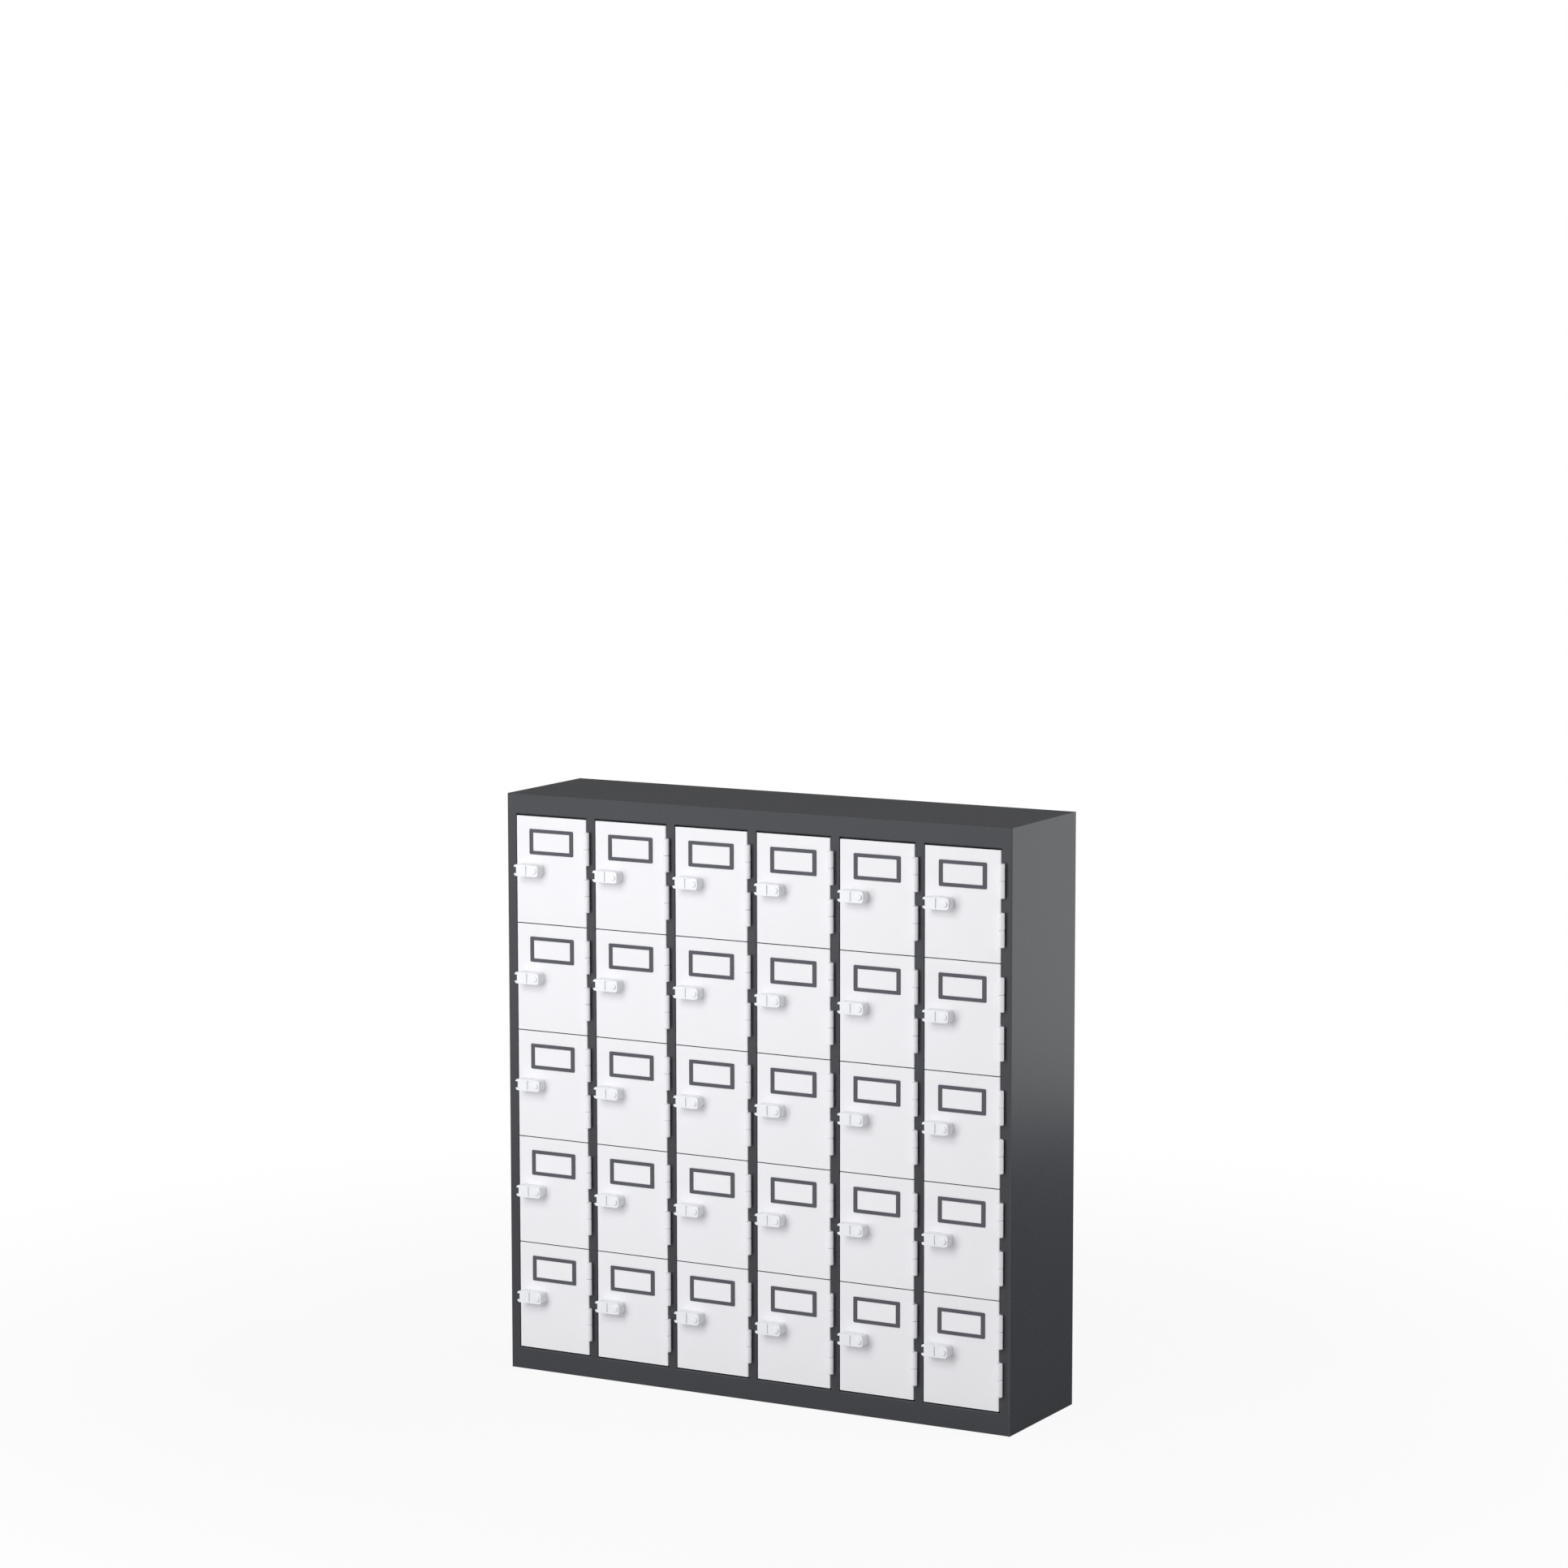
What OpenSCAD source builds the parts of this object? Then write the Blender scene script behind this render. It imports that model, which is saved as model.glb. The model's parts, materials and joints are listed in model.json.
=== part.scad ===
// Cell phone locker box: a folded sheet carcass with a grid of small hinged doors,
// each with a card holder and a turning latch. Millimetres, Z up, Y to the back.
// The origin is the centre of the base. Row 1 is the top row, column 1 the left one.

/* [Carcass] */
// Overall width of the carcass
body_w = 900; // [700:1:1200]
// Overall height of the carcass
body_h = 940; // [800:1:1300]
// Overall depth of the carcass, from the front face to the back
body_d = 225; // [150:1:350]
// Thickness of the folded carcass sheet
sheet_t = 1.2; // [1:0.1:2]
// Inside radius of the folds in the carcass sheet
fold_r = 1; // [0.5:0.1:1]
// Height of the rail above the doors
top_rail_h = 32.6; // [24:0.1:60]
// Height of the rail below the doors
base_rail_h = 35.2; // [24:0.1:60]
// Width of the stile at each side of the front
side_stile_w = 17; // [14:0.1:30]
// Width of the stiles between the columns
mid_stile_w = 15.2; // [14:0.1:30]
// Depth of the folded returns of the stiles
stile_depth = 10; // [8:0.5:14]
// Height of the lips on the rails that the doors close against
stop_lip_h = 7; // [4:0.5:12]
// Width of the flanges that carry the back panel
back_flange_w = 15; // [10:0.5:25]
// Radius of the four wall-fixing holes in the back panel
fixing_r = 4; // [2:0.5:6]

/* [Compartments] */
// Number of columns
cols = 6; // [2:1:6]
// Number of rows
rows = 5; // [2:1:5]
// Thickness of the dividing walls and shelves
inner_t = 1; // [0.8:0.1:1.5]
// Height of the flanges folded down round each shelf
shelf_flange_h = 10; // [6:0.5:16]

/* [Doors] */
// Thickness of the door sheet
door_t = 1.5; // [1:0.1:2]
// Inside radius of the fold on the hinge side of the door
door_fold_r = 0.5; // [0.3:0.1:1.5]
// Thickness of the stiffening frame behind the door
stiffener_t = 1; // [0.8:0.1:1.5]
// Distance of the stiffening frame from the door's free edges
stiffener_inset = 5; // [3:0.5:10]
// Width of the stiffening frame's rear lip
stiffener_lip_w = 6; // [4:0.5:12]
// Gap between a door and the stile on its latch side
latch_gap = 1.2; // [0.8:0.1:3]
// Gap between a door and the stile on its hinge side
hinge_gap = 1.3; // [1.3:0.1:3]
// Gap between the doors and the rails
rail_gap = 2; // [1:0.1:4]
// Gap between one door and the next below it
row_gap = 1.5; // [1.2:0.1:3]

/* [Hinges] */
// Outer radius of the hinge barrel
barrel_r = 4.75; // [4:0.05:6]
// Length of a hinge barrel, both knuckles together
barrel_l = 53; // [40:1:60]
// Radius of the hinge pin
hinge_pin_r = 2; // [1.5:0.1:2.5]
// Distance of the hinge axis from the door's edge, sideways
hinge_out = 3.7; // [3.5:0.1:5]
// Distance of the hinge axis in front of the door's face
hinge_proud = 5.3; // [5:0.1:7]
// Thickness of the hinge leaves
leaf_t = 1; // [0.8:0.1:1]
// Height of the upper hinge's middle below the top of the door
upper_hinge_drop = 46; // [34:1:50]
// Distance between the middles of the two hinges
hinge_spacing = 75.2; // [66:0.1:90]

/* [Card holders] */
// Width of the card holder
card_holder_w = 81.6; // [60:0.1:100]
// Height of the card holder
card_holder_h = 40.9; // [25:0.1:42]
// Distance of the card holder's top below the top of the door
card_holder_drop = 20.3; // [8:0.1:22]
// Width of the holder's side bars
card_side_bar = 7.1; // [4:0.1:10]
// Width of the holder's top and bottom bars
card_end_bar = 5.8; // [4:0.1:8]
// Thickness of the card holder
card_holder_t = 1.1; // [1:0.1:2.5]
// Thickness of the card behind the window
card_t = 0.4; // [0.2:0.1:0.5]
// Distance that the card runs in behind the bars
card_overlap = 3; // [1:0.5:3]
// Radius of the holder's outer corners
card_corner_r = 2; // [0.5:0.1:4]

/* [Latches] */
// Rows whose latches are pieces of their own, counted from the top
turning_rows = 3; // [0:1:3]
// Width of the latch housing
latch_w = 40.4; // [34:0.1:46]
// Height of the latch housing and of the lever
latch_h = 18.6; // [14:0.1:22]
// Distance that the housing stands out from the door
housing_depth = 15; // [10:0.1:18]
// Thickness of the turning lever
lever_t = 4.2; // [3:0.1:6]
// Running gap between the housing and the lever
lever_gap = 0.2; // [0.1:0.05:0.4]
// Distance of the housing from the door's free edge
latch_inset = 9.6; // [6:0.1:14]
// Height of the latch's middle below the top of the door
latch_drop = 85.8; // [76:0.1:96]
// Radius of the rounded corners at the latch's pivot end
latch_corner_r = 5; // [1:0.1:6]
// Distance of the pivot from the housing's far end
pivot_end = 6.8; // [6:0.1:9]
// Height of the notch between the lever's two horns
notch_h = 10.2; // [6:0.1:12]
// Radius of the round boss at the pivot
boss_r = 4.6; // [4.2:0.1:6]
// Height of the boss above the lever
boss_h = 2; // [0.5:0.1:3]
// Width of the grip groove across the lever
groove_w = 1.7; // [1:0.1:2.5]
// Length of the grip groove
groove_l = 15.4; // [10:0.1:16]
// Depth of the grip groove
groove_depth = 2.4; // [0.5:0.1:3]
// Distance of the grip groove from the pivot
groove_from_pivot = 15.1; // [10:0.1:20]
// Radius of the latch spindle
spindle_r = 4; // [3:0.1:4]
// Running clearance round the spindle and the hinge pins
running_clear = 0.05; // [0.02:0.01:0.1]
// Thickness of the cam behind the door
cam_t = 2; // [1.5:0.1:3]
// Width of the cam
cam_w = 12; // [10:0.5:16]
// Radius of the cam round the spindle
cam_hub_r = 7; // [6:0.1:8]
// Distance that the cam reaches behind the stile when it is turned
cam_grip = 5.3; // [3:0.1:6]
// Gap between the cam and the back of the door
cam_gap = 0.5; // [0.4:0.1:1]
// Thickness of the cam's nut
nut_t = 3.5; // [2:0.1:5]
// Distance across the corners of the cam's nut
nut_corners = 15; // [13:0.1:18]

/* [Hidden] */
$fn = 48;
// How far a cutting shape runs past the face that it cuts
over = 1;
// Gap between a closed door and the lips and shelves behind it
stop_gap = 0.4;
// Gap between a divider and the lips of the rails
lip_clear = 0.3;
// Gap between the two knuckles of a hinge
knuckle_gap = 0.5;
// Chamfer on the ends of the hinge knuckles
knuckle_chamfer = 0.8;
// Length of the closed end of the upper knuckle
knuckle_cap = 3;
// Clear hole round the spindle in the door sheet
sheet_hole_clear = 0.5;
// Length of spindle that stands out past the nut
spindle_end = 1.5;
// Gap between the card and the slot that it slides in
card_play = 0.1;
// Seam between two pieces that are fixed to each other but are made separately
seam = 0.1;

front = -body_d / 2;
back = body_d / 2;
back_inner = back - 2 * sheet_t;
side_inner = body_w / 2 - sheet_t;
stop_depth = stile_depth + stop_gap;
rail_bottom = body_h - top_rail_h;

col_pitch = (body_w - 2 * side_stile_w + mid_stile_w) / cols;
door_w = col_pitch - mid_stile_w - latch_gap - hinge_gap;
door_h = (rail_bottom - base_rail_h - 2 * rail_gap - (rows - 1) * row_gap) / rows;
row_pitch = door_h + row_gap;

hinge_drops = [upper_hinge_drop, upper_hinge_drop + hinge_spacing];
pivot_x = latch_inset + latch_w - pivot_end;
lever_front = housing_depth + lever_gap + lever_t;
cam_front = stile_depth + cam_gap;
cam_reach = pivot_x + latch_gap + cam_grip;

paint_dark = "#56565a";
paint_white = "#f2f2f4";
paint_frame = "#66666a";
card_white = "#fbfbfb";
zinc = "#b9bcc0";

function name(kind, r, c) = str(kind, "_r", r, "_c", c);
function door_x(c) = -body_w / 2 + side_stile_w + latch_gap + (c - 1) * col_pitch;
function door_z(r) = base_rail_h + rail_gap + (rows - r) * row_pitch;
function wall_x(i) = door_x(i) + door_w + hinge_gap + mid_stile_w / 2;
function bay_left(c) = c == 1 ? -side_inner : wall_x(c - 1) + inner_t / 2;
function bay_right(c) = c == cols ? side_inner : wall_x(c) - inner_t / 2;
function shelf_top(r) = r < rows ? door_z(r) - (row_gap - inner_t) / 2 : base_rail_h;

// A quarter ring, the section of a fold. Its middle is the fold's centre, and the
// ring lies between the directions along and away
module fold_section(along, away, r_in, t) {
    reach = r_in + t + over;
    intersection() {
        difference() {
            circle(r = r_in + t);
            circle(r = r_in);
        }
        polygon([[0, 0], along * reach, (along + away) * reach, away * reach]);
    }
}

// The section of a folded sheet. The path runs along one face, with the sheet on
// its left, and turns through square corners
module folded_section(path, t, r_in) {
    last = len(path) - 1;
    heading = [for (i = [0 : last - 1]) (path[i + 1] - path[i]) / norm(path[i + 1] - path[i])];
    turn = [for (i = [1 : last - 1])
        heading[i - 1].x * heading[i].y - heading[i - 1].y * heading[i].x];
    function left_of(h) = [-h.y, h.x];
    function setback(i) = i < 1 || i >= last ? 0 : turn[i - 1] > 0 ? r_in + t : r_in;
    for (i = [0 : last - 1]) {
        start = path[i] + heading[i] * setback(i);
        finish = path[i + 1] - heading[i] * setback(i + 1);
        side = left_of(heading[i]) * t;
        polygon([start, finish, finish + side, start + side]);
    }
    for (i = [1 : last - 1]) {
        inward = left_of(heading[i - 1]) * turn[i - 1];
        centre = path[i] + (inward - heading[i - 1]) * setback(i);
        translate(centre) fold_section(heading[i - 1], -inward, r_in, t);
    }
}

// A rectangle with round corners, from its lower left corner
module round_rectangle(w, h, r) {
    translate([r, 0]) square([w - 2 * r, h]);
    translate([0, r]) square([w, h - 2 * r]);
    for (x = [r, w - r], y = [r, h - r]) translate([x, y]) circle(r = r);
}

// A rectangle whose two right corners are round, from its lower left corner
module right_rounded_rectangle(w, h, r) {
    square([w - r, h]);
    translate([0, r]) square([w, h - 2 * r]);
    for (y = [r, h - r]) translate([w - r, y]) circle(r = r);
}

// The top or base sheet with its front rail, stop lip and back flange. The sheet's
// outer face lies at height zero and the rail hangs down from it
module rail_panel(rail_h) {
    path = [
        [back, -back_flange_w],
        [back, 0],
        [front, 0],
        [front, -rail_h],
        [front + stop_depth, -rail_h],
        [front + stop_depth, -rail_h - stop_lip_h]
    ];
    translate([-side_inner, 0, 0])
        rotate([90, 0, 90])
            linear_extrude(2 * side_inner)
                folded_section(path, sheet_t, fold_r);
}

module top_panel() {
    color(paint_dark) translate([0, 0, body_h]) rail_panel(top_rail_h);
}

module base_panel() {
    color(paint_dark) mirror([0, 0, 1]) rail_panel(base_rail_h);
}

// The left side: one sheet with the front stile and the back flange folded in.
// Its stile and flange are cut away where the rails and their flanges lie
module side_panel() {
    path = [
        [-body_w / 2 + back_flange_w, back],
        [-body_w / 2, back],
        [-body_w / 2, front],
        [-body_w / 2 + side_stile_w, front],
        [-body_w / 2 + side_stile_w, front + stile_depth]
    ];
    notch_w = side_stile_w + over;
    difference() {
        linear_extrude(body_h) folded_section(path, sheet_t, fold_r);
        for (z = [-over, rail_bottom])
            translate([-side_inner, front - over, z])
                cube([notch_w, stile_depth + 2 * over, z < 0 ? base_rail_h + over : top_rail_h + over]);
        for (z = [-over, body_h - back_flange_w])
            translate([-side_inner, back - sheet_t - fold_r, z])
                cube([notch_w, sheet_t + fold_r + over, back_flange_w + over]);
    }
}

module left_side_panel() {
    color(paint_dark) side_panel();
}

module right_side_panel() {
    color(paint_dark) mirror([1, 0, 0]) side_panel();
}

// The back sheet, held against the flanges of the other panels and clear of the
// rounds in their folds, with a wall-fixing hole behind each corner compartment
module back_panel() {
    edge = sheet_t + fold_r + seam;
    color(paint_dark)
    difference() {
        translate([edge - body_w / 2, back_inner, edge])
            cube([body_w - 2 * edge, sheet_t, body_h - 2 * edge]);
        for (c = [1, cols], r = [1, rows])
            translate([door_x(c) + door_w / 2, back_inner - over, door_z(r) + door_h / 2])
                rotate([-90, 0, 0])
                    cylinder(r = fixing_r, h = sheet_t + 2 * over);
    }
}

// A stile between two columns and the wall behind it, two sheets welded together
module divider(i) {
    half = mid_stile_w / 2;
    channel = [
        [-half, front + stile_depth],
        [-half, front],
        [half, front],
        [half, front + stile_depth]
    ];
    behind_lip = front + stop_depth + sheet_t + lip_clear;
    above_base_lip = base_rail_h + stop_lip_h + lip_clear;
    below_top_lip = rail_bottom - stop_lip_h - lip_clear;
    wall = [
        [behind_lip, sheet_t],
        [back_inner, sheet_t],
        [back_inner, body_h - sheet_t],
        [behind_lip, body_h - sheet_t],
        [behind_lip, below_top_lip],
        [front + sheet_t + seam, below_top_lip],
        [front + sheet_t + seam, above_base_lip],
        [behind_lip, above_base_lip]
    ];
    color(paint_dark) translate([wall_x(i), 0, 0]) {
        translate([0, 0, base_rail_h])
            linear_extrude(rail_bottom - base_rail_h)
                folded_section(channel, sheet_t, fold_r);
        translate([-inner_t / 2, 0, 0])
            rotate([90, 0, 90])
                linear_extrude(inner_t)
                    polygon(wall);
    }
}

// A shelf with flanges folded down on all four sides. The lowest one starts behind
// the base rail's lip
module shelf(r, c) {
    w = bay_right(c) - bay_left(c) - 2 * seam;
    start = front + stop_depth + (r < rows ? 0 : sheet_t);
    depth = back_inner - start - seam;
    translate([bay_left(c) + seam, start, shelf_top(r) - shelf_flange_h])
    difference() {
        cube([w, depth, shelf_flange_h]);
        translate([inner_t, inner_t, -over])
            cube([w - 2 * inner_t, depth - 2 * inner_t, shelf_flange_h - inner_t + over]);
    }
}

module shelves() {
    color(paint_dark) for (r = [1 : rows], c = [1 : cols]) shelf(r, c);
}

// Places a piece on the door of a row and column, from the lower left corner of its face
module at_door(r, c) {
    translate([door_x(c), front, door_z(r)]) children();
}

// Places a piece on the axis of each hinge of a door, at the barrel's middle
module at_hinges() {
    for (drop = hinge_drops)
        translate([door_w + hinge_out, -hinge_proud, door_h - drop]) children();
}

// Turns a shape drawn flat so that it faces the front
module facing_front() {
    rotate([90, 0, 0]) children();
}

// A leaf that runs back from the barrel through the gap beside the door
module hinge_leaf(x, l) {
    start = hinge_pin_r + running_clear;
    translate([x, start, 0]) cube([leaf_t, hinge_proud + stile_depth - start, l]);
}

// The upper knuckle, fixed to the door, with a blind bore for the pin
module door_knuckle() {
    l = (barrel_l - knuckle_gap) / 2;
    bore = hinge_pin_r + running_clear;
    translate([0, 0, knuckle_gap / 2]) {
        rotate_extrude() polygon([
            [bore, 0],
            [barrel_r - knuckle_chamfer, 0],
            [barrel_r, knuckle_chamfer],
            [barrel_r, l - knuckle_chamfer],
            [barrel_r - knuckle_chamfer, l],
            [0, l],
            [0, l - knuckle_cap],
            [bore, l - knuckle_cap]
        ]);
        hinge_leaf(seam - hinge_out, l);
    }
}

// The lower knuckle, fixed to the stile, and the pin that stands in it
module frame_knuckle() {
    l = (barrel_l - knuckle_gap) / 2;
    bore = hinge_pin_r + running_clear;
    translate([0, 0, -barrel_l / 2]) {
        rotate_extrude() polygon([
            [bore, 0],
            [barrel_r - knuckle_chamfer, 0],
            [barrel_r, knuckle_chamfer],
            [barrel_r, l - knuckle_chamfer],
            [barrel_r - knuckle_chamfer, l],
            [bore, l]
        ]);
        hinge_leaf(hinge_gap - hinge_out - leaf_t, l);
        cylinder(r = hinge_pin_r, h = barrel_l - knuckle_cap - knuckle_gap);
    }
}

module frame_hinges() {
    color(paint_white)
        for (r = [1 : rows], c = [1 : cols]) at_door(r, c) at_hinges() frame_knuckle();
}

// The door sheet, with its hinge side folded back and a hole for the spindle
module door_sheet() {
    path = [[0, 0], [door_w, 0], [door_w, stile_depth]];
    difference() {
        linear_extrude(door_h) folded_section(path, door_t, door_fold_r);
        translate([pivot_x, -over, door_h - latch_drop])
            rotate([-90, 0, 0])
                cylinder(r = spindle_r + sheet_hole_clear, h = door_t + 2 * over);
    }
}

// The frame welded behind the door sheet, with a lip turned in at the back
module door_stiffener() {
    w = door_w - door_t - door_fold_r - stiffener_inset;
    h = door_h - 2 * stiffener_inset;
    depth = stile_depth - door_t - seam;
    hole_inset = stiffener_t + stiffener_lip_w;
    translate([stiffener_inset, door_t + seam, stiffener_inset])
    difference() {
        cube([w, depth, h]);
        translate([stiffener_t, -over, stiffener_t])
            cube([w - 2 * stiffener_t, depth - stiffener_t + over, h - 2 * stiffener_t]);
        translate([hole_inset, 0, hole_inset])
            cube([w - 2 * hole_inset, depth + over, h - 2 * hole_inset]);
    }
}

// The card holder: a window frame with a slot behind it that is open at the top
module card_holder() {
    window_w = card_holder_w - 2 * card_side_bar;
    window_h = card_holder_h - 2 * card_end_bar;
    slot_x = card_side_bar - card_overlap - card_play;
    slot_y = card_end_bar - card_overlap - card_play;
    translate([(door_w - card_holder_w) / 2, -seam, door_h - card_holder_drop - card_holder_h])
    facing_front()
    difference() {
        linear_extrude(card_holder_t)
            round_rectangle(card_holder_w, card_holder_h, card_corner_r);
        translate([card_side_bar, card_end_bar, -over])
            cube([window_w, window_h, card_holder_t + 2 * over]);
        translate([slot_x, slot_y, -over])
            cube([card_holder_w - 2 * slot_x, card_holder_h, card_t + card_play + over]);
    }
}

module card() {
    card_x = card_side_bar - card_overlap;
    card_y = card_end_bar - card_overlap;
    translate([(door_w - card_holder_w) / 2, -seam, door_h - card_holder_drop - card_holder_h])
    facing_front()
        translate([card_x, card_y, 0])
            cube([card_holder_w - 2 * card_x, card_holder_h - 2 * card_y, card_t]);
}

// Places a piece on the latch's axis, at the door's face and facing the front
module at_pivot() {
    translate([pivot_x, 0, door_h - latch_drop]) facing_front() children();
}

module latch_housing() {
    at_pivot()
    difference() {
        translate([pivot_end - latch_w, -latch_h / 2, seam])
            linear_extrude(housing_depth - seam)
                right_rounded_rectangle(latch_w, latch_h, latch_corner_r);
        translate([0, 0, -over])
            cylinder(r = spindle_r + running_clear, h = housing_depth + 2 * over);
    }
}

// The lever's outline: a plate with a horn above and below the notch at its free end
module lever_outline() {
    horn = (latch_h - notch_h) / 2;
    free_end = pivot_end - latch_w;
    translate([free_end, -latch_h / 2])
        right_rounded_rectangle(latch_w, latch_h, latch_corner_r);
    for (side = [-1, 1])
        intersection() {
            translate([free_end, side * notch_h / 2]) circle(r = horn);
            translate([free_end - horn, side > 0 ? notch_h / 2 : -latch_h / 2])
                square([horn, horn]);
        }
}

// The lever with its spindle, boss and grip groove
module lever() {
    behind = cam_front + cam_t + seam + nut_t + spindle_end;
    base = housing_depth + lever_gap;
    at_pivot()
    difference() {
        union() {
            translate([0, 0, base]) linear_extrude(lever_t) lever_outline();
            translate([0, 0, lever_front]) cylinder(r = boss_r, h = boss_h);
            translate([0, 0, -behind]) cylinder(r = spindle_r, h = behind + base);
        }
        translate([-groove_from_pivot - groove_w / 2, -groove_l / 2, lever_front - groove_depth])
            cube([groove_w, groove_l, groove_depth + over]);
    }
}

// The cam that turns behind the stile. It points up when the latch is open
module cam() {
    at_pivot()
    translate([0, 0, -cam_front - cam_t])
    linear_extrude(cam_t)
    difference() {
        union() {
            circle(r = cam_hub_r);
            translate([-cam_w / 2, 0]) square([cam_w, cam_reach - cam_w / 2]);
            translate([0, cam_reach - cam_w / 2]) circle(r = cam_w / 2);
        }
        circle(r = spindle_r + running_clear);
    }
}

module cam_nut() {
    at_pivot()
    translate([0, 0, -cam_front - cam_t - seam - nut_t])
    difference() {
        cylinder(r = nut_corners / 2, h = nut_t, $fn = 6);
        translate([0, 0, -over])
            cylinder(r = spindle_r + running_clear, h = nut_t + 2 * over);
    }
}

// The turning pieces of a latch
module latch(r, c) {
    at_door(r, c) {
        color(paint_white) lever();
        color(zinc) cam();
        color(zinc) cam_nut();
    }
}

// A door with all that is fixed to it. Below the turning rows it holds its latch too
module door(r, c) {
    at_door(r, c) {
        color(paint_white) door_sheet();
        color(paint_white) door_stiffener();
        color(paint_white) at_hinges() door_knuckle();
        color(paint_frame) card_holder();
        color(card_white) card();
        color(paint_white) latch_housing();
    }
    if (r > turning_rows) latch(r, c);
}

top_panel();
base_panel();
left_side_panel();
right_side_panel();
back_panel();
for (i = [1 : cols - 1])
    divider(i);
shelves();
frame_hinges();
for (r = [1 : rows], c = [1 : cols])
    door(r, c);
for (r = [1 : 1 : min(turning_rows, rows)], c = [1 : cols])
    latch(r, c);
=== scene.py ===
"""The looks of a cell phone locker box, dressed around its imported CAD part.

The carcass keeps its CAD nodes, and every door and latch is built again here with
rounded edges and finishes of its own. Sizes are in millimetres until a mesh is
made, and everything placed is in metres. Z is up and Y goes to the back. Row 1 is
the top row and column 1 the left one.
"""

import json
import logging
import math
from collections.abc import Iterable, Sequence
from dataclasses import dataclass
from enum import Enum

import bmesh
import bpy
from bpy.types import ID, Material, Mesh, Node, NodeSocket, NodeTree, Object
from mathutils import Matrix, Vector


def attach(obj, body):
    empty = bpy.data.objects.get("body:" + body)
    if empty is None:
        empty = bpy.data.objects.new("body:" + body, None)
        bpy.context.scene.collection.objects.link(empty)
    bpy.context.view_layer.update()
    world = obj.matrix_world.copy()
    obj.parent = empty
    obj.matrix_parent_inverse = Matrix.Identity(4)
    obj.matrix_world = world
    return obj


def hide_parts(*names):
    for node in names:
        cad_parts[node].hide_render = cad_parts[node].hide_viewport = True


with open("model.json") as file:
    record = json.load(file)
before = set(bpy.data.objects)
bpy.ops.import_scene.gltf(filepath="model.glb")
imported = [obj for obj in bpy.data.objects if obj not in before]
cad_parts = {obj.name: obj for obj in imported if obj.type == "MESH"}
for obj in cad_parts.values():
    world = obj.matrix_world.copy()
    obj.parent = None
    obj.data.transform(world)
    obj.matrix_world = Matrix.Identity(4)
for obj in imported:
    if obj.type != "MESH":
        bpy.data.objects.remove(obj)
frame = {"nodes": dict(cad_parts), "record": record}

LOG = logging.getLogger("locker")
METRES = 0.001
WHITE = (1.0, 1.0, 1.0, 1.0)
# Where the middle point of an edge rounded in two steps lies, as a share of its radius
MID_SHARE = 0.3

Point = tuple[float, float]
Spot = tuple[float, float, float]
Outline = Sequence[Point]
# The values of a shader's inputs, and what is linked to them
Inputs = tuple[dict[str, float], dict[str, NodeSocket]]


class Slot(Enum):
    """The record's material slots."""

    GRAPHITE_PAINT = "graphite_paint"
    WHITE_PAINT = "white_paint"
    HOLDER_PLASTIC = "card_holder_plastic"
    CARD_PAPER = "card_paper"
    ZINC_PLATE = "zinc_plate"


class Plane(Enum):
    """The plane in which an outline is drawn. It is extruded square to it."""

    FRONT = "x and z, extruded along y"
    PLAN = "x and y, extruded along z"
    SIDE = "y and z, extruded along x"

    def point(self, flat: Point, along: float) -> Vector:
        """Returns the point in space of a point drawn flat, in metres.

        Args:
            flat: The point in the plane, in millimetres.
            along: The distance along the extrusion, in millimetres.

        Returns:
            The point in the piece's own frame.
        """
        a, b = flat
        if self is Plane.FRONT:
            return Vector((a, along, b)) * METRES
        if self is Plane.SIDE:
            return Vector((along, a, b)) * METRES
        return Vector((a, b, along)) * METRES


def arc(
    centre: Point, radius: float, start: float, end: float, steps: int
) -> list[Point]:
    """Returns points along an arc.

    Args:
        centre: The arc's centre, in millimetres.
        radius: Its radius.
        start: The angle of the first point, in degrees.
        end: The angle of the last point.
        steps: The number of straight steps along the arc.

    Returns:
        The points from start to end.
    """
    x, y = centre
    angles = [math.radians(start + (end - start) * i / steps) for i in range(steps + 1)]
    return [(x + radius * math.cos(a), y + radius * math.sin(a)) for a in angles]


def rectangle(left: float, low: float, right: float, high: float) -> list[Point]:
    """Returns the corners of a rectangle, anticlockwise from the lower left."""
    return [(left, low), (right, low), (right, high), (left, high)]


def rounded_rectangle(
    box: tuple[float, float, float, float], radius: float, steps: int
) -> list[Point]:
    """Returns the outline of a rectangle with round corners.

    Args:
        box: Its left, low, right and high edges.
        radius: The radius of the corners.
        steps: The number of straight steps round a corner.

    Returns:
        The points, anticlockwise.
    """
    left, low, right, high = box
    corners = [
        ((right - radius, low + radius), -90),
        ((right - radius, high - radius), 0),
        ((left + radius, high - radius), 90),
        ((left + radius, low + radius), 180),
    ]
    return [
        point
        for centre, start in corners
        for point in arc(centre, radius, start, start + 90, steps)
    ]


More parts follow.
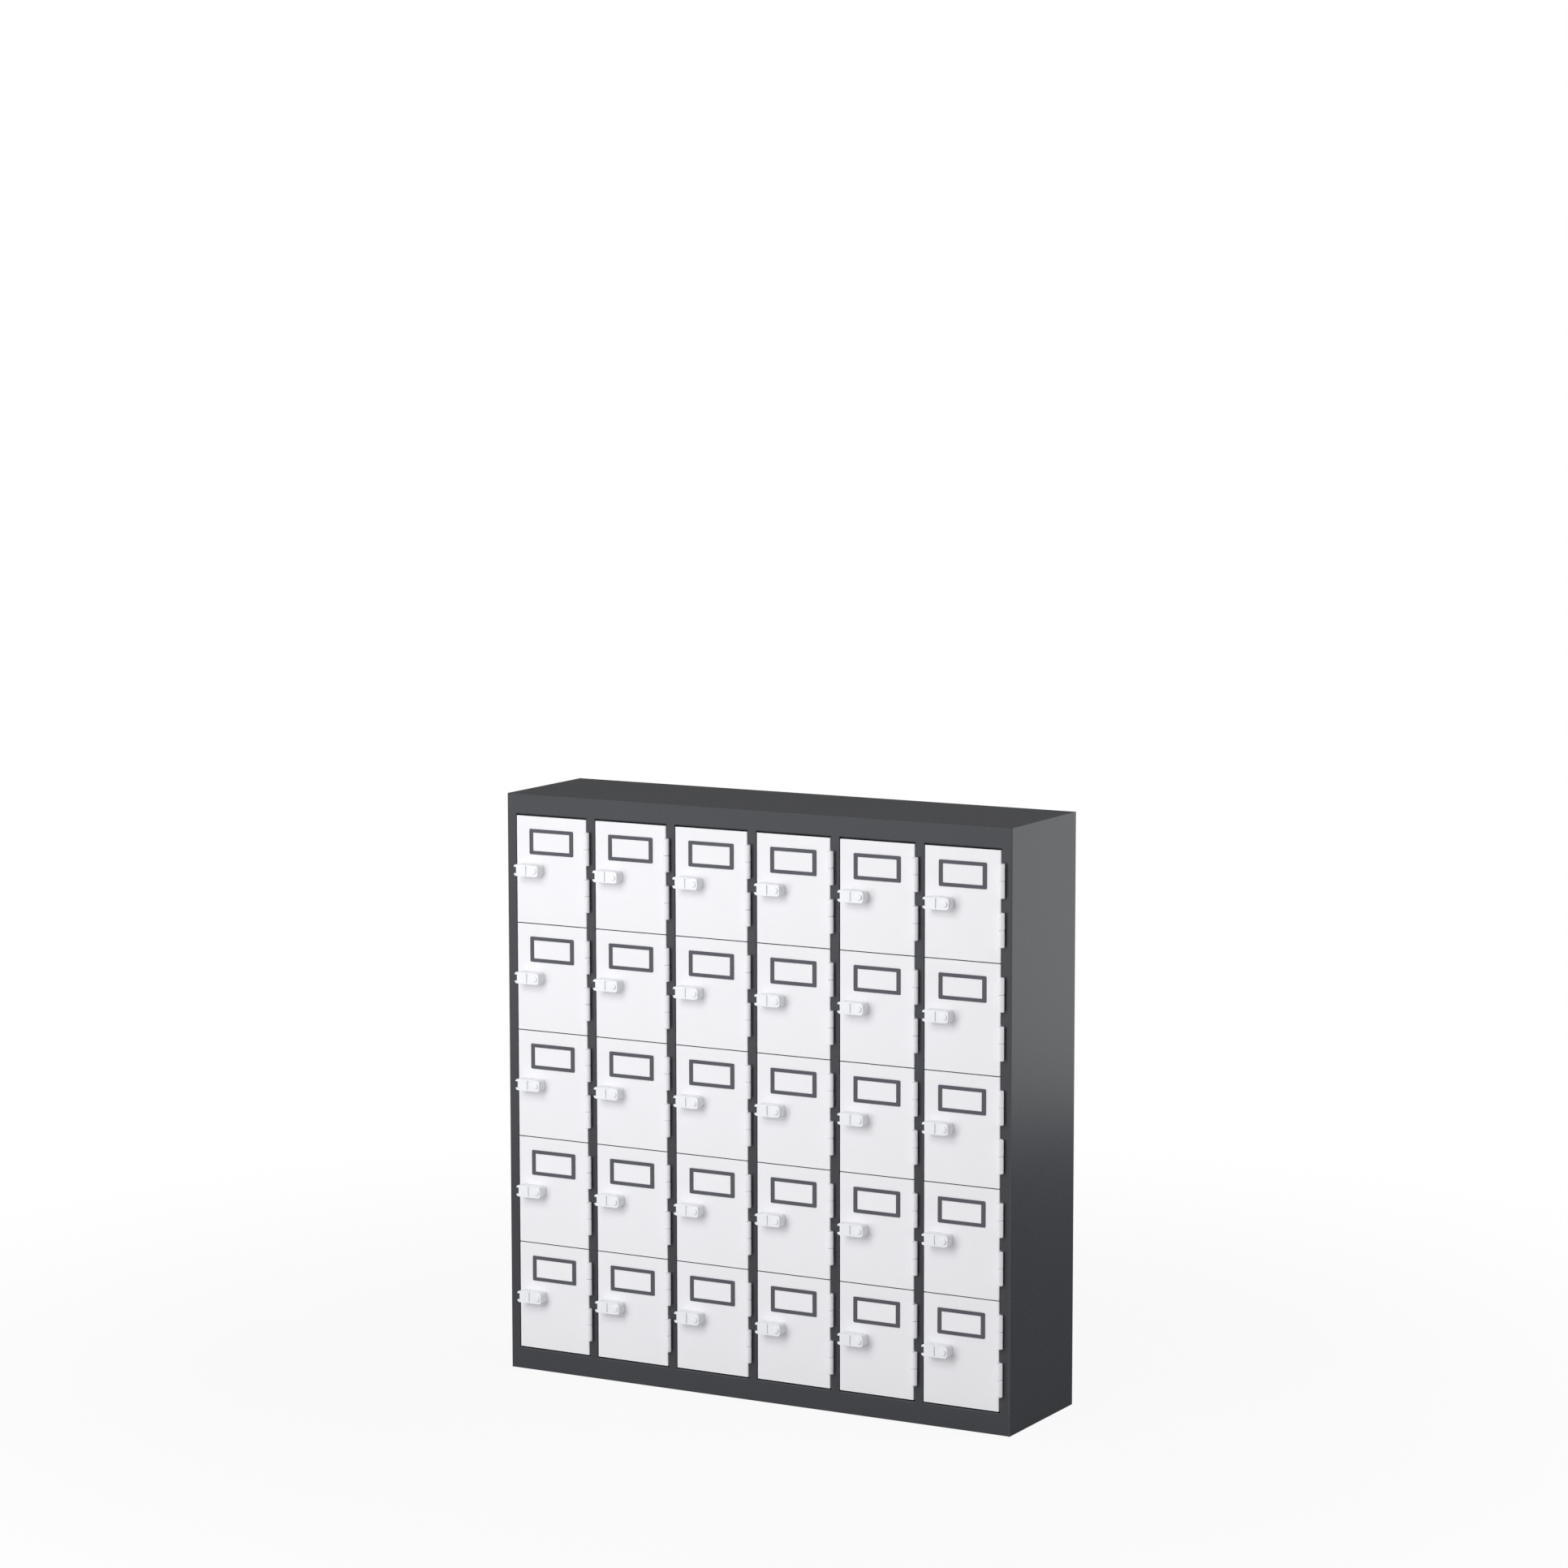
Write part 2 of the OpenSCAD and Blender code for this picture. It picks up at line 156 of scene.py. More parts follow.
class Draft:
    """A mesh in the making, in a piece's own frame."""

    # Faces that meet at more than this angle have a sharp edge
    SHARP = math.radians(35)

    def __init__(self) -> None:
        """Starts an empty draft."""
        self.bm = bmesh.new()

    def _ring(self, outline: Outline, along: float, plane: Plane) -> list[bmesh.types.BMVert]:
        """Adds the points of an outline at one distance along the extrusion."""
        return [self.bm.verts.new(plane.point(p, along)) for p in outline]

    def _walls(self, a: list[bmesh.types.BMVert], b: list[bmesh.types.BMVert]) -> None:
        """Joins two rings of the same number of points by a closed band of faces.

        Args:
            a: The first ring.
            b: The second ring.
        """
        for i in range(len(a)):
            j = (i + 1) % len(a)
            self.bm.faces.new((a[i], a[j], b[j], b[i]))

    def prism(
        self,
        outline: Outline,
        start: float,
        end: float,
        plane: Plane,
        pockets: Iterable[tuple[Outline, float]] = (),
    ) -> None:
        """Adds a plate with an outline, and pockets sunk in the face at its start.

        Args:
            outline: The outer outline.
            start: Where the plate starts along the extrusion, in millimetres.
            end: Where it ends.
            plane: The plane of the outline.
            pockets: The outline and depth of each pocket.
        """
        near, far = self._ring(outline, start, plane), self._ring(outline, end, plane)
        self._walls(near, far)
        self.bm.faces.new(far)
        loops = [near]
        for pocket, depth in pockets:
            rim = self._ring(pocket, start, plane)
            floor = self._ring(pocket, start + depth, plane)
            self._walls(rim, floor)
            self.bm.faces.new(floor)
            loops.append(rim)
        if len(loops) == 1:
            self.bm.faces.new(near)
            return
        edges = [self.bm.edges.get((r[i - 1], r[i])) for r in loops for i in range(len(r))]
        bmesh.ops.triangle_fill(self.bm, edges=edges, use_beauty=True)

    def loft(self, rings: Sequence[tuple[Outline, float]], plane: Plane, closed: bool) -> None:
        """Adds a skin through rings of the same number of points.

        Args:
            rings: Each ring's outline and its distance along the extrusion.
            plane: The plane of the outlines.
            closed: Whether the last ring joins the first, as round a window frame.
                Otherwise the two end rings are capped.
        """
        made = [self._ring(outline, along, plane) for outline, along in rings]
        for a, b in zip(made, made[1:]):
            self._walls(a, b)
        if closed:
            self._walls(made[-1], made[0])
        else:
            self.bm.faces.new(made[0])
            self.bm.faces.new(made[-1])

    def lathe(self, profile: Outline, centre: Point, plane: Plane, steps: int) -> None:
        """Adds a turned piece that ends on its axis.

        Args:
            profile: Its radius and its distance along the axis at each point. A
                radius of zero ends the piece on its axis.
            centre: The axis in the plane.
            plane: The plane that the axis is square to.
            steps: The number of faces round the piece.
        """
        rings = []
        for radius, along in profile:
            if radius == 0:
                rings.append([self.bm.verts.new(plane.point(centre, along))])
            else:
                circle = arc(centre, radius, 0, 360 - 360 / steps, steps - 1)
                rings.append(self._ring(circle, along, plane))
        for a, b in zip(rings, rings[1:]):
            if len(a) == len(b):
                self._walls(a, b)
                continue
            tip, rim = (a, b) if len(a) == 1 else (b, a)
            for i in range(len(rim)):
                self.bm.faces.new((tip[0], rim[i - 1], rim[i]))

    def soften(self, width: float, segments: int) -> None:
        """Rounds every sharp edge drawn so far.

        Args:
            width: The width of the rounding, in millimetres.
            segments: The number of faces across it.
        """
        bmesh.ops.recalc_face_normals(self.bm, faces=self.bm.faces)
        sharp = [
            edge
            for edge in self.bm.edges
            if len(edge.link_faces) == 2 and edge.calc_face_angle(0) > self.SHARP
        ]
        bmesh.ops.bevel(
            self.bm,
            geom=sharp,
            offset=width * METRES,
            offset_type="OFFSET",
            segments=segments,
            profile=0.5,
            affect="EDGES",
            clamp_overlap=True,
        )

    def mesh(self, name: str) -> Mesh:
        """Finishes the mesh, with flat faces kept flat beside their rounded edges.

        Args:
            name: The mesh's name.

        Returns:
            The mesh, with its normals set.
        """
        bmesh.ops.recalc_face_normals(self.bm, faces=self.bm.faces)
        draft = bpy.data.meshes.new(name + "_draft")
        self.bm.to_mesh(draft)
        self.bm.free()
        draft.shade_smooth()
        draft.set_sharp_from_angle(angle=self.SHARP)
        holder = add_object(name + "_draft", draft)
        weighted = holder.modifiers.new("flat faces", "WEIGHTED_NORMAL")
        weighted.keep_sharp = True
        evaluated = holder.evaluated_get(bpy.context.evaluated_depsgraph_get())
        finished = bpy.data.meshes.new_from_object(evaluated)
        finished.name = name
        bpy.data.objects.remove(holder)
        bpy.data.meshes.remove(draft)
        return finished


def add_object(name: str, data: ID) -> Object:
    """Adds an object to the scene.

    Args:
        name: The object's name.
        data: Its mesh, light or camera.

    Returns:
        The object.
    """
    made = bpy.data.objects.new(name, data)
    bpy.context.scene.collection.objects.link(made)
    return made


def linear(code: str) -> tuple[float, float, float, float]:
    """Returns the linear colour of an sRGB hex code.

    Args:
        code: The colour as #rrggbb.

    Returns:
        Red, green, blue and an alpha of 1.
    """
    shares = [int(code[i : i + 2], 16) / 255 for i in (1, 3, 5)]
    return (*[s / 12.92 if s <= 0.04045 else ((s + 0.055) / 1.055) ** 2.4 for s in shares], 1.0)


def add_node(
    tree: NodeTree,
    kind: str,
    values: dict[str | int, object] | None = None,
    links: dict[str | int, NodeSocket] | None = None,
    **settings: object,
) -> Node:
    """Adds a node to a tree.

    Args:
        tree: The node tree.
        kind: The node's type, as Blender names it.
        values: The values of its input sockets.
        links: The output that each linked input socket takes.
        settings: The node's own settings.

    Returns:
        The node.
    """
    node = tree.nodes.new(kind)
    for name, value in settings.items():
        setattr(node, name, value)
    for socket, value in (values or {}).items():
        node.inputs[socket].default_value = value
    for socket, source in (links or {}).items():
        tree.links.new(source, node.inputs[socket])
    return node


def bare_material(name: str) -> Material:
    """Returns a new material with an empty node tree.

    Args:
        name: The material's name.

    Returns:
        The material.
    """
    material = bpy.data.materials.new(name)
    material.use_nodes = True
    material.node_tree.nodes.clear()
    return material


def pattern(
    tree: NodeTree,
    kind: str,
    size_mm: float,
    values: dict[str, float],
    links: dict[str, NodeSocket] | None = None,
    **settings: str,
) -> NodeSocket:
    """Adds a pattern that lies in a piece's own space.

    Args:
        tree: The node tree.
        kind: The texture node's type.
        size_mm: The size of one bump, grain or cloud, in millimetres.
        values: The values of its other inputs.
        links: The output that each other linked input takes.
        settings: The node's own settings.

    Returns:
        The pattern.
    """
    place = add_node(tree, "ShaderNodeTexCoord").outputs["Object"]
    values = {"Scale": 1 / (size_mm * METRES), **values}
    links = {"Vector": place, **(links or {})}
    return add_node(tree, kind, values, links, **settings).outputs[0]


def bump(
    tree: NodeTree,
    height: NodeSocket,
    depth_mm: float,
    under: NodeSocket | None = None,
) -> NodeSocket:
    """Raises a surface by a pattern.

    Args:
        tree: The node tree.
        height: The pattern.
        depth_mm: Its depth, in millimetres.
        under: The normal of the coarser bump that it lies on, if any.

    Returns:
        The surface's normal.
    """
    values = {"Strength": 1.0, "Distance": depth_mm * METRES}
    links = {"Height": height}
    if under is not None:
        links["Normal"] = under
    return add_node(tree, "ShaderNodeBump", values, links).outputs["Normal"]


def spread_about(
    tree: NodeTree, pattern: NodeSocket, middle: float, spread: float
) -> NodeSocket:
    """Spreads a value about its middle by a pattern.

    Args:
        tree: The node tree.
        pattern: The pattern, from 0 to 1.
        middle: The middle value.
        spread: How far the value goes to either side.

    Returns:
        The value.
    """
    values = {"To Min": middle - spread, "To Max": middle + spread}
    return add_node(tree, "ShaderNodeMapRange", values, {"Value": pattern}).outputs["Result"]


@dataclass(frozen=True)
class Finish:
    """What a kind of piece is finished with, and the record's slot for it."""

    name: str
    colour: str
    slot: Slot

    def material(self) -> Material:
        """Returns the finish's material, which is built only once.

        Returns:
            The material.
        """
        material = bpy.data.materials.get(self.name)
        if material is None:
            material = bare_material(self.name)
            tree = material.node_tree
            values, links = self._inputs(tree)
            values = {"Base Color": linear(self.colour), **values}
            shader = add_node(tree, "ShaderNodeBsdfPrincipled", values, links).outputs["BSDF"]
            add_node(tree, "ShaderNodeOutputMaterial", links={"Surface": shader})
        return material

    def _inputs(self, tree: NodeTree) -> Inputs:
        """Builds what goes into the shader, apart from the colour.

        Args:
            tree: The material's node tree.

        Returns:
            The shader's inputs.
        """
        raise NotImplementedError


@dataclass(frozen=True)
class PowderCoat(Finish):
    """Polyester powder, sprayed on metal and stoved.

    As the powder melts it levels into a shallow orange peel of a few millimetres,
    with a finer grain in it, so a reflection has a soft, slightly wavy edge.
    """

    roughness: float
    cloud_colour: str | None = None
    roughness_spread: float = 0.05
    ior: float = 1.5
    specular_level: float = 0.55
    cloud_mm: float = 90
    peel_mm: float = 5
    peel_depth_mm: float = 0.03
    grain_mm: float = 0.9
    grain_depth_mm: float = 0.004

    def _noise(self, tree: NodeTree, size_mm: float, detail: float) -> NodeSocket:
        """Adds a noise that differs from piece to piece.

        Args:
            tree: The node tree.
            size_mm: The size of one bump or cloud, in millimetres.
            detail: The number of finer layers in it.

        Returns:
            The noise, from 0 to 1.
        """
        values = {"Detail": detail, "Roughness": 0.5}
        piece = {"W": add_node(tree, "ShaderNodeObjectInfo").outputs["Random"]}
        return pattern(
            tree, "ShaderNodeTexNoise", size_mm, values, piece, noise_dimensions="4D"
        )

    def _inputs(self, tree: NodeTree) -> Inputs:
        """Builds the coat's peel and grain, and its clouds if it has any.

        Args:
            tree: The material's node tree.

        Returns:
            The shader's inputs.
        """
        grain = self._noise(tree, self.grain_mm, detail=1.0)
        wavy = bump(tree, self._noise(tree, self.peel_mm, detail=1.0), self.peel_depth_mm)
        values = {"IOR": self.ior, "Specular IOR Level": self.specular_level}
        links = {
            "Roughness": spread_about(tree, grain, self.roughness, self.roughness_spread),
            "Normal": bump(tree, grain, self.grain_depth_mm, wavy),
        }
        if self.cloud_colour:
            cloud = self._noise(tree, self.cloud_mm, detail=2.0)
            colours = {6: linear(self.colour), 7: linear(self.cloud_colour)}
            clouded = add_node(tree, "ShaderNodeMix", colours, {0: cloud}, data_type="RGBA")
            links["Base Color"] = clouded.outputs[2]
        return values, links


@dataclass(frozen=True)
class MouldedAbs(Finish):
    """ABS moulded in a spark-eroded tool.

    The tool leaves an even grain, so the plastic is matte and has no clear reflection.
    """

    roughness: float = 0.5
    ior: float = 1.53
    grain_mm: float = 0.5
    grain_depth_mm: float = 0.006

    def _inputs(self, tree: NodeTree) -> Inputs:
        """Builds the plastic's raised grain.

        Args:
            tree: The material's node tree.

        Returns:
            The shader's inputs.
        """
        grain = pattern(tree, "ShaderNodeTexVoronoi", self.grain_mm, {"Randomness": 1.0})
        values = {"IOR": self.ior, "Roughness": self.roughness}
        return values, {"Normal": bump(tree, grain, self.grain_depth_mm)}


@dataclass(frozen=True)
class CardStock(Finish):
    """Uncoated white card, pressed from short fibres.

    The fibres scatter light evenly, so the card is as bright from every side.
    """

    roughness: float = 0.8
    ior: float = 1.45
    fibre_mm: float = 0.8
    fibre_depth_mm: float = 0.01

    def _inputs(self, tree: NodeTree) -> Inputs:
        """Builds the card's raised fibres.

        Args:
            tree: The material's node tree.

        Returns:
            The shader's inputs.
        """
        shape = {"Detail": 3.0, "Distortion": 1.5}
        fibres = pattern(tree, "ShaderNodeTexNoise", self.fibre_mm, shape)
        values = {"IOR": self.ior, "Roughness": self.roughness}
        return values, {"Normal": bump(tree, fibres, self.fibre_depth_mm)}


@dataclass(frozen=True)
class ZincPlate(Finish):
    """Steel pressings plated with bright zinc and tumbled.

    Tumbling leaves fine, short marks, so highlights are bright with a ragged edge.
    """

    roughness: float = 0.34
    roughness_spread: float = 0.08
    mark_mm: float = 1.2

    def _inputs(self, tree: NodeTree) -> Inputs:
        """Builds the metal's sheen, which varies with the marks.

        Args:
            tree: The material's node tree.

        Returns:
            The shader's inputs.
        """
        shape = {"Detail": 4.0, "Distortion": 0.6}
        marks = pattern(tree, "ShaderNodeTexNoise", self.mark_mm, shape)
        sheen = spread_about(tree, marks, self.roughness, self.roughness_spread)
        return {"Metallic": 1.0}, {"Roughness": sheen}


@dataclass(frozen=True)
class Finishes:
    """The finish of each kind of piece."""

    # A thin coat that levelled well: dark, with soft reflections of the floor, which glowing
    # cards laid on it paint dimmer, as painted shade
    graphite: Finish = PowderCoat(
        "graphite_powder_coat",
        "#37393e",
        Slot.GRAPHITE_PAINT,
        roughness=0.26,
        cloud_colour="#3a3c41",
        roughness_spread=0.04,
        peel_depth_mm=0.015,
    )
    # A thicker coat with a satin sheen that shows no clear reflection
    white: Finish = PowderCoat(
        "white_powder_coat",
        "#f0f0f3",
        Slot.WHITE_PAINT,
        roughness=0.4,
        cloud_colour="#f2f2f5",
    )
    # The same powder on a smooth die casting, whose edges catch small highlights
    latch_white: Finish = PowderCoat(
        "white_stoved_die_cast",
        "#f2f3f7",
        Slot.WHITE_PAINT,
        roughness=0.25,
        peel_mm=3,
        peel_depth_mm=0.008,
    )
    holder: Finish = MouldedAbs("grey_moulded_abs", "#4f5057", Slot.HOLDER_PLASTIC)
    card: Finish = CardStock("white_card_stock", "#f3f3f6", Slot.CARD_PAPER)
    zinc: Finish = ZincPlate("bright_zinc_plate", "#c4c7ca", Slot.ZINC_PLATE)


@dataclass(frozen=True)
class Grid:
    """The grid of compartments in the carcass, as the CAD part has it."""

    body_w: float = 900
    body_h: float = 940
    body_d: float = 225
    top_rail_h: float = 32.6
    base_rail_h: float = 35.2
    side_stile_w: float = 17
    mid_stile_w: float = 15.2
    stile_depth: float = 10
    cols: int = 6
    rows: int = 5
    turning_rows: int = 3
    latch_gap: float = 1.2
    hinge_gap: float = 1.3
    rail_gap: float = 2
    row_gap: float = 1.5

    @property
    def col_pitch(self) -> float:
        """The distance from one column to the next."""
        return (self.body_w - 2 * self.side_stile_w + self.mid_stile_w) / self.cols

    @property
    def door_w(self) -> float:
        """The width of a door."""
        return self.col_pitch - self.mid_stile_w - self.latch_gap - self.hinge_gap

    @property
    def door_h(self) -> float:
        """The height of a door."""
        opening = self.body_h - self.top_rail_h - self.base_rail_h
        return (opening - 2 * self.rail_gap - (self.rows - 1) * self.row_gap) / self.rows

    def mid_stile_x(self, number: int) -> float:
        """Returns the middle of the stile between two columns, numbered from the left."""
        first = -self.body_w / 2 + self.side_stile_w - self.mid_stile_w / 2
        return first + number * self.col_pitch

    def door_corner(self, row: int, col: int) -> Vector:
        """Returns the lower left corner of a door's face, in metres.

        Args:
            row: The door's row, counted from the top.
            col: Its column, counted from the left.

        Returns:
            The corner.
        """
        left = -self.body_w / 2 + self.side_stile_w + self.latch_gap
        low = self.base_rail_h + self.rail_gap
        x = left + (col - 1) * self.col_pitch
        z = low + (self.rows - row) * (self.door_h + self.row_gap)
        return Vector((x, -self.body_d / 2, z)) * METRES


@dataclass(frozen=True)
class DoorLeaf:
    """The door sheet, folded back on its hinge side, and the frame behind it."""

    width: float
    height: float
    depth: float
    sheet_t: float = 1.5
    fold_r: float = 0.5
    frame_t: float = 1
    frame_inset: float = 5
    lip_w: float = 6
    seam: float = 0.1
    edge_round: float = 0.2
    frame_round: float = 0.4
    corner_r: float = 1.2

    def mesh(self) -> Mesh:
        """Builds the mesh, from the lower left corner of the door's face.

        Returns:
            The mesh.
        """
        draft = Draft()
        outer = self.fold_r + self.sheet_t
        centre = (self.width - outer, outer)
        section = [
            (0, 0),
            *arc(centre, outer, -90, 0, steps=6),
            (self.width, self.depth),
            (self.width - self.sheet_t, self.depth),
            *arc(centre, self.fold_r, 0, -90, steps=4),
            (0, self.sheet_t),
        ]
        draft.prism(section, 0, self.height, Plane.PLAN)
        draft.soften(self.edge_round, segments=2)
        self._add_frame(draft)
        return draft.mesh("door_leaf")

    def _add_frame(self, draft: Draft) -> None:
        """Adds the stiffening frame, whose rear edge turns in as a lip.

        Args:
            draft: The door's mesh so far.
        """
        left = low = self.frame_inset
        right = self.width - self.sheet_t - self.fold_r
        high = self.height - self.frame_inset
        front, rear = self.sheet_t + self.seam, self.depth
        wide = self.frame_t + self.lip_w
        profile = [
            (0, front),
            (0, rear - self.frame_round),
            (self.frame_round, rear),
            (wide, rear),
            (wide, rear - self.frame_t),
            (self.frame_t, rear - self.frame_t),
            (self.frame_t, front),
        ]
        rings = []
        for inset, along in profile:
            box = (left + inset, low + inset, right - inset, high - inset)
            rings.append((rounded_rectangle(box, self.corner_r, steps=3), along))
        draft.loft(rings, Plane.FRONT, closed=True)


@dataclass(frozen=True)
class Hinge:
    """The upper knuckle of a door's hinges, with the leaf that it is rolled from."""

    door_w: float
    door_h: float
    leaf_reach: float
    barrel_r: float = 4.75
    barrel_l: float = 53
    bore_r: float = 2.05
    out: float = 3.7
    proud: float = 5.3
    leaf_t: float = 1
    drops: tuple[float, float] = (46, 121.2)
    gap: float = 0.5
    chamfer: float = 0.8
    cap: float = 3
    seam: float = 0.1

    def mesh(self) -> Mesh:
        """Builds both knuckles, from the lower left corner of the door's face.

        Returns:
            Their mesh.
        """
        draft = Draft()
        x, y = self.door_w + self.out, -self.proud
        for drop in self.drops:
            low = self.door_h - drop + self.gap / 2
            high = low + (self.barrel_l - self.gap) / 2
            rim = self.barrel_r - self.chamfer
            soft = self.chamfer * MID_SHARE
            draft.lathe(
                [
                    (0, high - self.cap),
                    (self.bore_r, high - self.cap),
                    (self.bore_r, low),
                    (rim, low),
                    (self.barrel_r - soft, low + soft),
                    (self.barrel_r, low + self.chamfer),
                    (self.barrel_r, high - self.chamfer),
                    (self.barrel_r - soft, high - soft),
                    (rim, high),
                    (0, high),
                ],
                (x, y),
                Plane.PLAN,
                steps=40,
            )
            left = x + self.seam - self.out
            leaf = rectangle(left, y + self.bore_r, left + self.leaf_t, self.leaf_reach)
            draft.prism(leaf, low, high, Plane.PLAN)
        return draft.mesh("door_knuckles")


@dataclass(frozen=True)
class CardHolder:
    """A window frame with a slot behind it that takes a card from the top."""

    door_w: float
    door_h: float
    width: float = 81.6
    height: float = 40.9
    drop: float = 20.3
    side_bar: float = 7.1
    end_bar: float = 5.8
    thickness: float = 1.1
    slot_t: float = 0.5
    card_t: float = 0.4
    overlap: float = 3
    play: float = 0.1
    corner_r: float = 2
    window_r: float = 0.5
    card_r: float = 1
    edge_round: float = 0.4
    seam: float = 0.1

    @property
    def left(self) -> float:
        """The holder's left edge on the door."""
        return (self.door_w - self.width) / 2

    @property
    def low(self) -> float:
        """The holder's lower edge on the door."""
        return self.door_h - self.drop - self.height

    def _ring(self, side: float, end: float, radius: float, steps: int) -> list[Point]:
        """Returns a ring that runs round the holder.

        Args:
            side: How far it lies within the holder's sides.
            end: How far it lies within its upper and lower edge.
            radius: The radius of its corners.
            steps: The number of straight steps round a corner.

        Returns:
            The ring's points.
        """
        left, low = self.left + side, self.low + end
        right, high = self.left + self.width - side, self.low + self.height - end
        return rounded_rectangle((left, low, right, high), radius, steps)

    def frame_mesh(self) -> Mesh:
        """Builds the frame, from the lower left corner of the door's face.

        Returns:
            Its mesh.
        """
        draft = Draft()
        face = -self.seam - self.thickness
        back = -self.seam - self.slot_t
        edge = self.edge_round / self.side_bar
        mid = self.edge_round * MID_SHARE
        profile = [
            (0.0, self.corner_r, back),
            (0.0, self.corner_r, face + self.edge_round),
            (edge * MID_SHARE, self.corner_r, face + mid),
            (edge, self.corner_r - self.edge_round, face),
            (1 - edge, self.window_r + self.edge_round, face),
            (1 - edge * MID_SHARE, self.window_r, face + mid),
            (1.0, self.window_r, face + self.edge_round),
            (1.0, self.window_r, back),
        ]
        rings = [
            (self._ring(self.side_bar * share, self.end_bar * share, radius, steps=4), y)
            for share, radius, y in profile
        ]
        draft.loft(rings, Plane.FRONT, closed=True)
        side = self.side_bar - self.overlap - self.play
        end = self.end_bar - self.overlap - self.play
        left, right = self.left, self.left + self.width
        low, high = self.low, self.low + self.height
        turn = self.corner_r
        rim = [
            (left, high - turn),
            *arc((left + turn, low + turn), turn, 180, 270, steps=4),
            *arc((right - turn, low + turn), turn, 270, 360, steps=4),
            (right, high - turn),
            (right - side, high - turn),
            (right - side, low + end),
            (left + side, low + end),
            (left + side, high - turn),
        ]
        draft.prism(rim, back, -self.seam, Plane.FRONT)
        return draft.mesh("card_holder")

    def card_mesh(self) -> Mesh:
        """Builds the card, from the lower left corner of the door's face.

        Returns:
            Its mesh.
        """
        draft = Draft()
        side, end = self.side_bar - self.overlap, self.end_bar - self.overlap
        outline = self._ring(side, end, self.card_r, steps=3)
        draft.prism(outline, -self.seam - self.card_t, -self.seam, Plane.FRONT)
        return draft.mesh("card")


